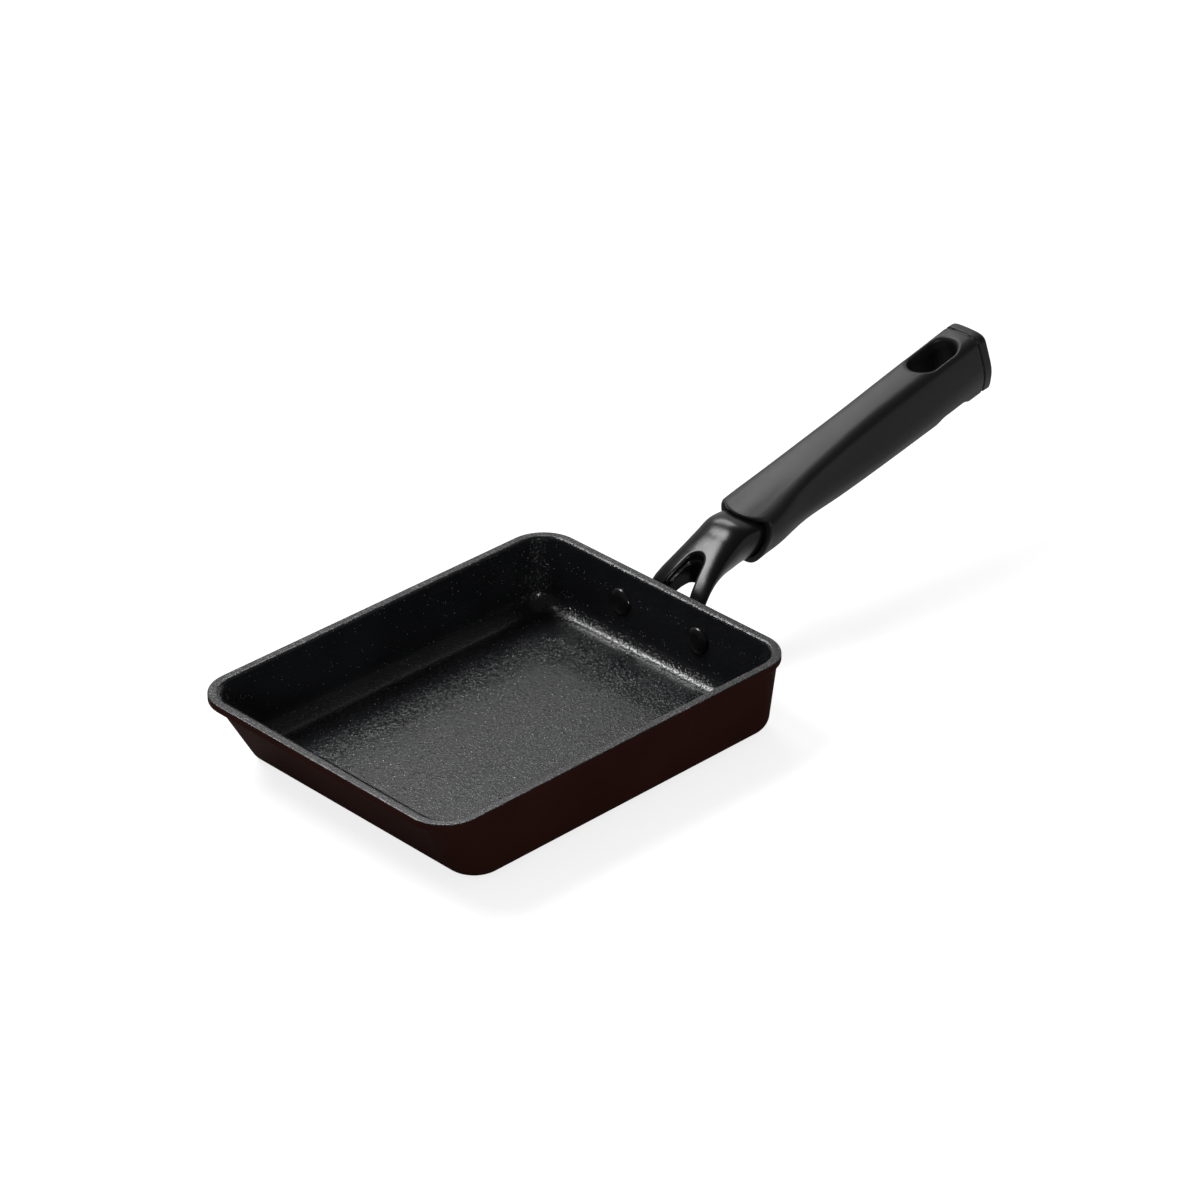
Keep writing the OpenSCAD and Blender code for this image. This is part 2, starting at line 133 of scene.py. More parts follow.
@dataclass(frozen=True)
class BracketSize:
    """Sizes of the forked bracket, in millimetres and degrees.

    Each station holds the reach and rise of the top line from the rim, the tilt of the section,
    its half width, the crown above the parting line and the belly below it.
    """

    foot_t: float = 3.0
    ear_r: float = 8.0
    slot_end_r: float = 3.9
    slot_root: float = 7.2
    slot_reach: float = 13.0
    parting_step: float = 0.5
    crown_power: float = 2.7
    belly_power: float = 1.6
    foot_round: float = 1.4
    foot_blend: float = 3.0
    slot_round: float = 0.9
    seat_round: float = 0.3
    stations: tuple[tuple[float, ...], ...] = (
        (-3.0, -20.0, 80.0, 14.6, 2.2, 3.0),
        (-0.2, -12.5, 76.0, 14.6, 2.2, 4.2),
        (1.9, -7.2, 64.0, 14.6, 2.2, 5.6),
        (4.5, -2.8, 48.0, 14.3, 2.2, 6.4),
        (8.1, 0.9, 38.0, 13.4, 2.3, 7.8),
        (12.4, 4.4, 33.0, 12.3, 2.6, 9.7),
        (18.4, 8.7, 25.0, 11.3, 3.2, 12.2),
        (24.6, 12.6, 20.0, 10.7, 3.8, 14.9),
        (32.0, 16.3, 14.0, 10.5, 4.2, 16.9),
    )
    neck: tuple[float, float, float] = (10.5, 4.3, 15.9)


@dataclass(frozen=True)
class GripSize:
    """Sizes of the moulded grip and its cap, in millimetres and degrees.

    Each station holds the share of the length, the height of the crown, and then half width and
    height of the top edge, the shoulder, the side, the lower edge and the bottom.
    """

    length: float = 128.0
    tilt: float = 14.25
    reach: float = 42.6
    rise: float = 19.5
    lip_t: float = 2.8
    lip_reach: float = 5.4
    lip_r: float = 17.0
    seat_depth: float = 6.0
    clearance: float = 0.3
    hang_l: float = 23.5
    hang_w: float = 13.0
    hang_chamfer: float = 1.3
    hang_from_rear: float = 5.6
    cap_l: float = 5.5
    cap_drop: float = 0.7
    groove: float = 0.7
    groove_w: float = 0.8
    edge_r: float = 4.6
    centre_n: float = -12.0
    tang: tuple[float, float, float] = (13.0, 8.0, 40.0)
    screw_back: float = 24.0
    screw_land: float = 3.0
    screw_r: float = 2.4
    screw_head_r: float = 4.5
    screw_head_h: float = 2.2
    lip_round: float = 0.5
    lip_blend: float = 0.8
    mouth_round: float = 0.9
    rear_round: float = 0.7
    cut_round: float = 0.5
    hang_round: float = 0.3
    chamfer_round: float = 0.6
    stations: tuple[tuple[float, ...], ...] = (
        (0.00, 0.3, 12.1, -1.0, 14.3, -4.6, 13.2, -10.5, 8.8, -19.7, 3.4, -24.8),
        (0.06, 0.5, 11.7, -0.5, 13.7, -4.6, 13.3, -11.0, 8.6, -20.4, 3.8, -24.1),
        (0.18, 1.2, 10.5, 0.7, 11.3, -4.6, 12.2, -12.4, 8.0, -19.8, 4.6, -22.1),
        (0.34, 1.8, 9.5, 1.4, 10.0, -5.0, 11.4, -14.0, 7.9, -21.8, 5.0, -23.9),
        (0.52, 2.2, 8.7, 1.7, 9.7, -6.0, 11.1, -16.6, 7.7, -23.5, 5.2, -25.4),
        (0.75, 1.9, 8.7, 1.4, 9.7, -6.0, 10.8, -17.6, 7.5, -25.1, 5.4, -26.9),
        (1.00, 1.2, 8.9, 0.6, 9.7, -6.5, 10.5, -17.0, 7.5, -26.6, 5.8, -28.2),
    )

    def to_part(self, u: Array, n: Array, rim_x: float, rim_z: float) -> tuple[Array, Array]:
        """Turns grip coordinates into the part's.

        Args:
            u: Distance along the grip's top line from its mouth.
            n: Height above that line.
            rim_x: Where the rim ends on the handle side.
            rim_z: Height of the rim.

        Returns:
            x and z: u runs along the line tilted by the tilt, and n stands square to it.
        """
        c, s = cos_sin(self.tilt)
        return rim_x + self.reach + u * c - n * s, rim_z + self.rise + u * s + n * c


def cos_sin(degrees: float) -> tuple[float, float]:
    """Cosine and sine of an angle in degrees."""
    return math.cos(math.radians(degrees)), math.sin(math.radians(degrees))


def linked(name: str, data: Optional[bpy.types.ID]) -> bpy.types.Object:
    """New object that holds the data, linked to the scene."""
    made = bpy.data.objects.new(name, data)
    bpy.context.scene.collection.objects.link(made)
    return made


def mesh_piece(name: str, points: Array, faces: Array, weld: bool = False) -> bpy.types.Object:
    """Makes a smooth-shaded mesh object at the origin.

    Args:
        name: Name of the piece.
        points: Corner positions in millimetres, one row each.
        faces: Corner numbers, four to a row.
        weld: Whether coincident corners, as at poles, are merged.

    Returns:
        The new object, linked to the scene.
    """
    mesh = bpy.data.meshes.new(name)
    mesh.from_pydata((np.asarray(points, float) * MM).tolist(), [], np.asarray(faces).tolist())
    if weld:
        work = bmesh.new()
        work.from_mesh(mesh)
        bmesh.ops.remove_doubles(work, verts=work.verts, dist=1e-6)
        bmesh.ops.recalc_face_normals(work, faces=work.faces)
        work.to_mesh(mesh)
        work.free()
    mesh.polygons.foreach_set("use_smooth", np.ones(len(mesh.polygons), bool))
    mesh.update()
    return linked(name, mesh)


def ring_faces(rows: int, count: int) -> Array:
    """Quads between rows of closed rings.

    Args:
        rows: Number of rings.
        count: Points on each ring.

    Returns:
        Corner numbers: each quad joins a ring's points j and j + 1 to those of the next ring.
    """
    row, col = np.meshgrid(np.arange(rows - 1), np.arange(count), indexing="ij")
    nxt = (col + 1) % count
    here, there = row * count, (row + 1) * count
    return np.stack([here + col, here + nxt, there + nxt, there + col], -1).reshape(-1, 4)


def loft_piece(name: str, rings: Array) -> bpy.types.Object:
    """Closed shell through rings of equal count; the first and last ring are single points.

    Args:
        name: Name of the piece.
        rings: Array of rings, points and coordinates, in millimetres.

    Returns:
        The new object, with normals weighted by face area so that broad faces stay flat.
    """
    piece = mesh_piece(name, rings.reshape(-1, 3), ring_faces(*rings.shape[:2]), weld=True)
    weighted = piece.modifiers.new("face weighted normals", "WEIGHTED_NORMAL")
    weighted.weight = 60
    weighted.keep_sharp = True
    return piece


def closing_rings(ring: Array, shares: Sequence[float]) -> Array:
    """Copies of a ring drawn in towards its centre: centre + share * (point - centre)."""
    centre = ring.mean(0)
    return centre + np.asarray(shares)[:, None, None] * (ring - centre)


def smooth_min(a: Array, b: Array, width: float) -> Array:
    """Blended union: the smaller value, lowered by a parabola where the two are within width."""
    h = np.maximum(width - np.abs(a - b), 0.0) / width
    return np.minimum(a, b) - h * h * width / 4


def smooth_max(a: Array, b: Array, width: float) -> Array:
    """Blended intersection, the mirror image of smooth_min."""
    return -smooth_min(-a, -b, width)


def step(edge0: float, edge1: float, value: Array) -> Array:
    """Smooth step from 0 at edge0 to 1 at edge1, as 3t^2 - 2t^3."""
    t = np.clip((value - edge0) / (edge1 - edge0), 0.0, 1.0)
    return t * t * (3 - 2 * t)


def net_cells(values: Array) -> tuple[Array, Array]:
    """Surface net of a field on a grid.

    A cell crossed by the surface gets one corner, the mean of the crossings on its twelve edges,
    and each grid edge crossed by the surface gets one quad over the four cells round it.

    Args:
        values: Field on the grid, negative inside.

    Returns:
        Corners in grid steps, and quads.
    """
    inside = values < 0
    offsets = np.array([(i, j, k) for i in (0, 1) for j in (0, 1) for k in (0, 1)])
    shape = np.array(values.shape) - 1
    count = sum(
        inside[i : i + shape[0], j : j + shape[1], k : k + shape[2]].astype(np.int8) for i, j, k in offsets
    )
    cells = np.argwhere((count > 0) & (count < 8))
    corner = np.stack([values[tuple((cells + o).T)] for o in offsets], 1)
    total = np.zeros((len(cells), 3))
    hits = np.zeros(len(cells))
    pairs = [(a, b) for a in range(8) for b in range(a + 1, 8)]
    for a, b in [(a, b) for a, b in pairs if abs(offsets[a] - offsets[b]).sum() == 1]:
        crossed = (corner[:, a] < 0) != (corner[:, b] < 0)
        gap = np.where(crossed, corner[:, a] - corner[:, b], 1.0)
        share = (corner[:, a] / gap)[:, None]
        total += np.where(crossed[:, None], offsets[a] + share * (offsets[b] - offsets[a]), 0.0)
        hits += crossed
    points = cells + total / hits[:, None]
    number = np.full(shape, -1)
    number[tuple(cells.T)] = np.arange(len(cells))
    quads = []
    for axis in range(3):
        u, v = (axis + 1) % 3, (axis + 2) % 3
        low = np.take(inside, np.arange(shape[axis]), axis)
        high = np.take(inside, np.arange(1, shape[axis] + 1), axis)
        at = np.argwhere(low != high)
        at = at[(at[:, u] > 0) & (at[:, v] > 0) & (at[:, u] < shape[u]) & (at[:, v] < shape[v])]
        du, dv = np.eye(3, dtype=int)[u], np.eye(3, dtype=int)[v]
        around = [number[tuple((at - shift).T)] for shift in (du + dv, dv, 0 * du, du)]
        quad = np.stack(around, 1)
        flip = ~low[tuple(at.T)]
        quad[flip] = quad[flip][:, ::-1]
        quads.append(quad)
    return points, np.concatenate(quads)


def implicit_mesh(
    form: Form, low: Sequence[float], high: Sequence[float], pitch: float
) -> tuple[Array, Array]:
    """Mesh of the surface where a form is zero.

    The net's corners are evened out against their neighbours and then moved onto the surface along
    the gradient: p - f g / |g|^2, with g from central differences.

    Args:
        form: Field of x, y and z in millimetres, about the distance, negative inside.
        low: Lowest corner of the box that is searched.
        high: Highest corner of the box.
        pitch: Grid step.

    Returns:
        Corners in millimetres, and quads.
    """
    axes = [np.arange(a, b + pitch, pitch) for a, b in zip(low, high)]
    x, y, z = np.meshgrid(*axes, indexing="ij", sparse=True)
    points, quads = net_cells(np.broadcast_to(form(x, y, z), tuple(len(a) for a in axes)))
    points = np.asarray(low) + points * pitch
    sides = np.concatenate([quads[:, [i, (i + 1) % 4]] for i in range(4)])
    degree = np.bincount(sides[:, 0], minlength=len(points))[:, None]
    rounds, moves, keep, pull, least_slope = 3, 2, 0.45, 0.55, 0.04
    half = pitch / 4
    for _ in range(rounds):
        ends = points[sides[:, 1]]
        mean = np.stack([np.bincount(sides[:, 0], ends[:, i], len(points)) for i in range(3)], 1)
        points = keep * points + pull * mean / degree
        for _ in range(moves):
            value = form(*points.T)
            ways = half * np.eye(3)
            slope = np.stack([(form(*(points + e).T) - form(*(points - e).T)) / (2 * half) for e in ways], 1)
            move = -value / np.maximum((slope**2).sum(1), least_slope)
            points = points + slope * np.clip(move, -pitch, pitch)[:, None]
    return points, quads


def spline_rows(rows: Array, steps: int) -> Array:
    """Catmull-Rom values between the rows of a table, steps to each gap, with end rows repeated."""
    rows = np.asarray(rows, float)
    padded = np.concatenate([rows[:1], rows, rows[-1:]])
    k = np.arange(steps * (len(rows) - 1) + 1) / steps
    i = np.minimum(k.astype(int), len(rows) - 2)
    f = (k - i)[:, None]
    a, b, c, d = (padded[i + shift] for shift in range(4))
    square, cube = 2 * a - 5 * b + 4 * c - d, 3 * b - a - 3 * c + d
    return 0.5 * (2 * b + (c - a) * f + square * f**2 + cube * f**3)


def revolve(profile: Array, centre: Array, axis: Array, count: int = 96) -> Array:
    """Rings of a profile turned about an axis.

    Args:
        profile: Rows of radius and height along the axis.
        centre: Where height 0 lies on the axis.
        axis: Unit direction of the axis.
        count: Points on each ring.

    Returns:
        centre + height * axis + radius * (cos t * side + sin t * up) for t round the circle.
    """
    side = np.cross(axis, [0.0, 1.0, 0.0])
    side /= np.linalg.norm(side)
    up = np.cross(axis, side)
    t = np.linspace(0, 2 * math.pi, count, endpoint=False)
    spoke = np.cos(t)[:, None] * side + np.sin(t)[:, None] * up
    return centre + profile[:, 1, None, None] * axis + profile[:, 0, None, None] * spoke


Operand = Union["Value", float]


class Value:
    """A number socket that takes part in Python arithmetic and adds Math nodes as it does."""

    def __init__(self, sheet: "Sheet", socket: bpy.types.NodeSocket) -> None:
        """Wraps a socket of a sheet."""
        self.sheet = sheet
        self.socket = socket

    def _math(self, operation: str, *operands: Operand) -> "Value":
        """Adds a Math node over the operands and returns its result."""
        made = self.sheet.node("ShaderNodeMath", {"operation": operation}, dict(enumerate(operands)))
        return Value(self.sheet, made.outputs[0])

    def __add__(self, other: Operand) -> "Value":
        """self + other."""
        return self._math("ADD", self, other)

    def __mul__(self, other: Operand) -> "Value":
        """self * other."""
        return self._math("MULTIPLY", self, other)

    def __sub__(self, other: Operand) -> "Value":
        """self - other."""
        return self._math("SUBTRACT", self, other)

    def __rsub__(self, other: Operand) -> "Value":
        """other - self."""
        return self._math("SUBTRACT", other, self)

    def larger(self, other: Operand) -> "Value":
        """The larger of self and other."""
        return self._math("MAXIMUM", self, other)

    def ramp(self, low: float, high: float) -> "Value":
        """Smooth step of self from 0 at low to 1 at high."""
        made = self.sheet.node(
            "ShaderNodeMapRange",
            {"interpolation_type": "SMOOTHSTEP"},
            {"Value": self, "From Min": low, "From Max": high},
        )
        return Value(self.sheet, made.outputs[0])


class Sheet:
    """The node tree of one material."""

    def __init__(self, name: str, world: Optional[bpy.types.World] = None) -> None:
        """Starts an empty material, or empties a world, and keeps its Object coordinates."""
        self.material = world or bpy.data.materials.new(name)
        self.material.use_nodes = True
        self.tree = self.material.node_tree
        self.tree.nodes.clear()
        self.place = self.node("ShaderNodeTexCoord").outputs["Object"]

    def node(
        self, kind: str, settings: Optional[dict] = None, inputs: Optional[dict] = None
    ) -> bpy.types.Node:
        """Adds a node.

        Args:
            kind: Node type.
            settings: Attributes, set before the sockets.
            inputs: Values, sockets or Values by socket name or number.

        Returns:
            The new node.
        """
        made = self.tree.nodes.new(kind)
        for key, value in (settings or {}).items():
            setattr(made, key, value)
        for key, value in (inputs or {}).items():
            target = made.inputs[key]
            source = value.socket if isinstance(value, Value) else value
            if isinstance(source, bpy.types.NodeSocket):
                self.tree.links.new(source, target)
            else:
                target.default_value = source
        return made

    def stretched(self, scale: tuple[float, float, float]) -> bpy.types.NodeSocket:
        """Object coordinates multiplied by a scale along each axis."""
        return self.node("ShaderNodeMapping", {}, {"Vector": self.place, "Scale": scale}).outputs[0]

    def noise(self, size: float, detail: float, vector: Optional[bpy.types.NodeSocket] = None) -> Value:
        """Noise between 0 and 1.

        Args:
            size: Width of its blobs in millimetres.
            detail: Octaves.
            vector: Coordinates, the piece's own if left out.

        Returns:
            The noise's value.
        """
        made = self.node(
            "ShaderNodeTexNoise",
            {"noise_dimensions": "3D"},
            {"Vector": vector or self.place, "Scale": 1 / (size * MM), "Detail": detail},
        )
        return Value(self, made.outputs[0])

    def specks(self, size: float, spacing: float, share: float) -> Value:
        """Mask of small round specks.

        One speck sits in each cell of a Voronoi pattern, and only the share of the cells whose
        random colour is high enough shows it.

        Args:
            size: Width of a speck in millimetres.
            spacing: Distance between cells in millimetres.
            share: Share of the cells that hold a speck.

        Returns:
            1 on a speck and 0 off it.
        """
        cell = self.node("ShaderNodeTexVoronoi", {}, {"Vector": self.place, "Scale": 1 / (spacing * MM)})
        outside, inside, soft = 0.62, 0.38, 0.01
        near = Value(self, cell.outputs["Distance"]).ramp(outside * size / spacing, inside * size / spacing)
        pick = self.node("ShaderNodeSeparateColor", {}, {0: cell.outputs["Color"]})
        return near * Value(self, pick.outputs[0]).ramp(1 - share - soft, 1 - share + soft)

    def blend(self, factor: Value, a: Union[Colour, bpy.types.NodeSocket], b: Colour) -> bpy.types.NodeSocket:
        """Colour a where the factor is 0 and b where it is 1."""
        first = a if isinstance(a, bpy.types.NodeSocket) else (*a, 1.0)
        made = self.node("ShaderNodeMix", {"data_type": "RGBA"}, {"Factor": factor, 6: first, 7: (*b, 1.0)})
        return made.outputs[2]

    def bump(self, height: Value, depth: float) -> bpy.types.NodeSocket:
        """Normal of a surface raised by height times depth in millimetres."""
        made = self.node("ShaderNodeBump", {}, {"Height": height, "Distance": depth * MM, "Strength": 1.0})
        return made.outputs[0]

    def surface(self, varied: dict, fixed: dict) -> bpy.types.Material:
        """Ends the tree in a Principled shader.

        Args:
            varied: Sockets that change over the surface.
            fixed: Sockets set to one number or colour.

        Returns:
            The finished material.
        """
        shader = self.node("ShaderNodeBsdfPrincipled", {}, {**fixed, **varied})
        self.node("ShaderNodeOutputMaterial", {}, {"Surface": shader.outputs[0]})
        return self.material


@dataclass(frozen=True)
class SpeckledCoating:
    """Dark non-stick coating with small raised grains and pale specks."""

    name: str = "speckled coating"
    dark: Colour = (0.0056, 0.0059, 0.0068)
    light: Colour = (0.0088, 0.0094, 0.0106)
    speck: Colour = (0.26, 0.27, 0.27)
    roughness: float = 0.17
    specular: float = 0.46
    grain: float = 0.1

    def make(self) -> bpy.types.Material:
        """Builds the material: two shades of clouding, two sizes of speck and small raised grains."""
        sheet = Sheet(self.name)
        cloud = sheet.noise(26.0, 3.0).ramp(0.3, 0.7)
        base = sheet.blend(cloud, self.dark, self.light)
        fine = sheet.specks(0.3, 1.3, 0.3)
        coarse = sheet.specks(0.42, 3.0, 0.2)
        colour = sheet.blend(fine.larger(coarse) * 0.85, base, self.speck)
        grain = sheet.noise(0.9, 1.0)
        rough = grain * 0.08 + (self.roughness - 0.04)
        normal = sheet.bump(grain.ramp(0.48, 0.74), self.grain)
        return sheet.surface(
            {"Base Color": colour, "Roughness": rough, "Normal": normal},
            {"Specular IOR Level": self.specular},
        )


@dataclass(frozen=True)
class OuterCoating:
    """Deep maroon coating on the outside, semi-matte over the casting's soft grain."""

    name: str = "maroon coating"
    dark: Colour = (0.0215, 0.0070, 0.0052)
    light: Colour = (0.0300, 0.0098, 0.0073)
    roughness: float = 0.5
    specular: float = 0.008

    def make(self) -> bpy.types.Material:
        """Builds the material: slow clouding, flecks of the pigment and a fine peel."""
        sheet = Sheet(self.name)
        cloud = sheet.noise(34.0, 3.0).ramp(0.3, 0.7)
        fleck = sheet.noise(0.5, 1.0).ramp(0.52, 0.72)
        colour = sheet.blend(cloud * 0.6 + fleck * 0.4, self.dark, self.light)
        peel = sheet.noise(1.1, 2.0)
        rough = peel * 0.16 + (self.roughness - 0.08)
        return sheet.surface(
            {"Base Color": colour, "Roughness": rough, "Normal": sheet.bump(peel, 0.03)},
            {"Specular IOR Level": self.specular},
        )


@dataclass(frozen=True)
class Enamel:
    """Glossy black enamel or coating with a faint waviness."""

    name: str
    dark: Colour = (0.0030, 0.0030, 0.0030)
    light: Colour = (0.0055, 0.0055, 0.0055)
    roughness: float = 0.2
    wave: float = 0.05
    specular: float = 0.5

    def make(self) -> bpy.types.Material:
        """Builds the material: faint clouding, a slow wave and a fine peel."""
        sheet = Sheet(self.name)
        cloud = sheet.noise(9.0, 2.0)
        wave = sheet.noise(5.0, 1.0)
        peel = sheet.noise(0.9, 1.0)
        rough = cloud * 0.1 + (self.roughness - 0.05)
        normal = sheet.bump(wave * 0.9 + peel * 0.1, self.wave)
        return sheet.surface(
            {"Base Color": sheet.blend(cloud, self.dark, self.light), "Roughness": rough, "Normal": normal},
            {"Specular IOR Level": self.specular},
        )


@dataclass(frozen=True)
class MouldedPlastic:
    """Satin black moulding with the fine even grain of an eroded mould."""

    name: str
    dark: Colour = (0.0060, 0.0060, 0.0063)
    light: Colour = (0.0110, 0.0110, 0.0116)
    roughness: float = 0.4
    grain: float = 0.06
    specular: float = 0.34

    def make(self) -> bpy.types.Material:
        """Builds the material: grain in the height, a touch of it in colour and roughness."""
        sheet = Sheet(self.name)
        grain = sheet.noise(0.45, 2.0)
        cloud = sheet.noise(14.0, 2.0)
        shade = grain * 0.5 + cloud * 0.5
        rough = grain * 0.12 + cloud * 0.06 + (self.roughness - 0.09)
        return sheet.surface(
            {
                "Base Color": sheet.blend(shade, self.dark, self.light),
                "Roughness": rough,
                "Normal": sheet.bump(grain, self.grain),
            },
            {"Specular IOR Level": self.specular},
        )


@dataclass(frozen=True)
class BrushedSteel:
    """Steel brushed along X, or with an even grain when nothing is drawn out."""

    name: str
    dark: Colour = (0.36, 0.36, 0.37)
    light: Colour = (0.62, 0.62, 0.63)
    roughness: float = 0.32
    stretch: tuple[float, float, float] = (0.02, 1.0, 1.0)

    def make(self) -> bpy.types.Material:
        """Builds the material: noise drawn out along the brushing in colour, gloss and height."""
        sheet = Sheet(self.name)
        line = sheet.noise(0.35, 2.0, sheet.stretched(self.stretch))
        stain = sheet.noise(22.0, 3.0)
        rough = line * 0.18 + stain * 0.08 + (self.roughness - 0.13)
        return sheet.surface(
            {
                "Base Color": sheet.blend(line * 0.8 + stain * 0.2, self.dark, self.light),
                "Roughness": rough,
                "Normal": sheet.bump(line, 0.012),
            },
            {"Metallic": 1.0},
        )


def dress(piece: bpy.types.Object, slot: Slot, materials: Sequence[bpy.types.Material], *nodes: str) -> None:
    """Gives a piece its materials, its place in the table and the nodes that it stands for.

    Args:
        piece: The finished piece.
        slot: Not used.
        materials: Its material slots in order.
        nodes: CAD nodes that the piece replaces.
    """
    for material in materials:
        piece.data.materials.append(material)
    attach(piece, BODY)
    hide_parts(*nodes)
    LOG.info("%s: %d corners, stands for %s", piece.name, len(piece.data.vertices), ", ".join(nodes))


@dataclass
class Body:
    """The cast body with its rim lip, and the steel plate in its underside."""

    size: BodySize = field(default_factory=BodySize)
    corner_points: int = 28
    side_points: int = 14

    def outline(self, tip: Array, handle: Array, half: Array, radius: Array, z: Array) -> Array:
        """Rounded rectangles, one for each level.

        Args:
            tip: x of the tip edge at each level.
            handle: x of the handle edge.
            half: Half width.
            radius: Corner radius.
            z: Height.

        Returns:
            Rings that run anticlockwise: four arcs about the corner centres, joined by straights.
        """
        t = np.linspace(0, math.pi / 2, self.corner_points)
        arcs = []
        for quarter, (sx, sy) in enumerate(((1, 1), (-1, 1), (-1, -1), (1, -1))):
            cx = np.where(sx > 0, handle - radius, tip + radius)
            cy = sy * (half - radius)
            turn = t + quarter * math.pi / 2
            wide, deep = radius[:, None] * np.cos(turn), radius[:, None] * np.sin(turn)
            arcs.append(np.stack([cx[:, None] + wide, cy[:, None] + deep], -1))
        parts = []
        share = np.linspace(0, 1, self.side_points + 2)[1:-1, None]
        for i, arc in enumerate(arcs):
            start, end = arc[:, -1:], arcs[(i + 1) % 4][:, :1]
            parts += [arc, start + share * (end - start)]
        flat = np.concatenate(parts, 1)
        return np.concatenate([flat, np.broadcast_to(z[:, None, None], (*flat.shape[:2], 1))], -1)

    def swell(self, lift: Array, fillet: float) -> Array:
        """Outward reach at each lift of a quarter circle that starts flat on the floor."""
        return np.sqrt(np.maximum(fillet**2 - (fillet - np.minimum(lift, fillet)) ** 2, 0))

    def side(self, lift: Array, foot: float, angle: float, fillet: float) -> Array:
        """Outward position of one wall at each lift above its foot.

        Below fillet * (1 - sin angle) it follows a circle tangent to the floor and the wall, and
        above that the straight wall: foot + lift * tan angle.
        """
        a = math.radians(angle)
        centre = foot - fillet * math.tan(math.pi / 4 - a / 2)
        circle = centre + self.swell(lift, fillet)
        return np.where(lift < fillet * (1 - math.sin(a)), circle, foot + lift * math.tan(a))

    def shell(
        self, inset: float, foot_z: float, fillet: float, foot_r: float, top_r: float, top_z: float
    ) -> Array:
        """Levels of one face of the walls, from its foot to top_z.

        Args:
            inset: How far the face lies inside the outer one, square to each wall.
            foot_z: Height of the flat at its foot.
            fillet: Radius between that flat and the walls.
            foot_r: Plan corner radius above the fillet.
            top_r: Plan corner radius at the top.
            top_z: Height where the levels end.

        Returns:
            Rings from the edge of the flat upwards.
        """
        s = self.size
        down = s.height - foot_z
        walls = []
        for outward, angle in (
            (-(s.tip_x() + s.lip_out), s.tip_rake),
            (s.rim_x() - s.lip_out, s.handle_draft),
            (s.half_width - s.lip_out, s.side_draft),
        ):
            a = math.radians(angle)
            walls.append((outward - down * math.tan(a) - inset / math.cos(a), angle))
        turn = np.linspace(-math.pi / 2, 0, 22)[:-1]
        curve = fillet * (1 + np.sin(turn))
        lift = np.concatenate([curve, np.linspace(fillet, top_z - foot_z, 8)])
        tip, handle, half = (self.side(lift, foot, angle, fillet) for foot, angle in walls)
        bend = fillet * (1 - math.sin(math.radians(s.side_draft)))
        round_r = foot_r - fillet + self.swell(lift, fillet)
        climb = np.clip((lift - bend) / (s.height - foot_z - bend), 0, 1)
        radius = np.where(lift < bend, round_r, foot_r + climb * (top_r - foot_r))
        return self.outline(-tip, handle, half, radius, foot_z + lift)

    def rim(self, levels: Sequence[tuple[float, float]], corner: float) -> Array:
        """Levels of the rim.

        Args:
            levels: Pairs of inset from the rim's outer face and height.
            corner: Corner radius of that outer face.

        Returns:
            One ring for each pair, its corner radius smaller by the inset.
        """
        s = self.size
        inset, z = np.array(levels, float).T
        return self.outline(s.tip_x() + inset, s.rim_x() - inset, s.half_width - inset, corner - inset, z)

    def build_shell(self, inside: bpy.types.Material, outside: bpy.types.Material) -> None:
        """Builds the body as one closed surface, coated maroon outside and speckled inside."""
        s = self.size
        lip_z = s.height - s.lip_height
        top_r = s.rim_corner - s.lip_out
        base_x, base_y, base_shift = self.base_extent()
        under = self.outline(
            *(np.array([v, v]) for v in (base_shift - base_x, base_shift + base_x, base_y, s.base_corner)),
            np.array([s.base_thickness, s.foot_z]),
        )
        outer = self.shell(0.0, s.foot_z, s.outer_fillet, s.foot_corner, top_r, lip_z - 2 * s.lip_out)
        edge, soft, gap = s.outer_round, s.inner_round, 0.3
        turn = np.linspace(0, math.pi / 2, 5)
        out_round = [(edge - edge * math.cos(a), s.height - edge + edge * math.sin(a)) for a in turn]
        swing = np.radians((0.0, 14.0, 28.0, 42.0, 56.0, 70.0))
        middle = s.lip_out + s.wall - soft
        in_round = [(middle + soft * math.sin(a), s.height - soft + soft * math.cos(a)) for a in swing]
        under_lip = [(0.12, lip_z - 0.2), (0.0, lip_z + 0.1), (0.0, s.height - edge - gap)]
        flat_top = [(edge + gap, s.height), (middle - gap, s.height)]
        lip = self.rim([*under_lip, *out_round, *flat_top, *in_round], s.rim_corner)
        inner_top = s.height - s.chamfer - 0.35
        inner_foot_r = s.foot_corner - s.wall / 2
        inner = self.shell(s.wall, s.floor_z, s.inner_fillet, inner_foot_r, top_r - s.wall, inner_top)[::-1]
        below = closing_rings(under[0], (0.0, 0.5, 0.96))
        inside_flat = closing_rings(inner[-1], (0.96, 0.66, 0.33, 0.0))
        rings = np.concatenate([below, under, outer, lip, inner, inside_flat])
        piece = loft_piece("pan_shell", rings)
        dress(piece, Slot.BODY, (outside, inside), "pan_body")
        first_inner = len(below) + len(under) + len(outer) + len(under_lip) + 1
        tops = np.zeros(len(piece.data.polygons), np.int32)
        tops[self.inner_faces(piece, rings[first_inner:].reshape(-1, 3))] = 1
        piece.data.polygons.foreach_set("material_index", tops)

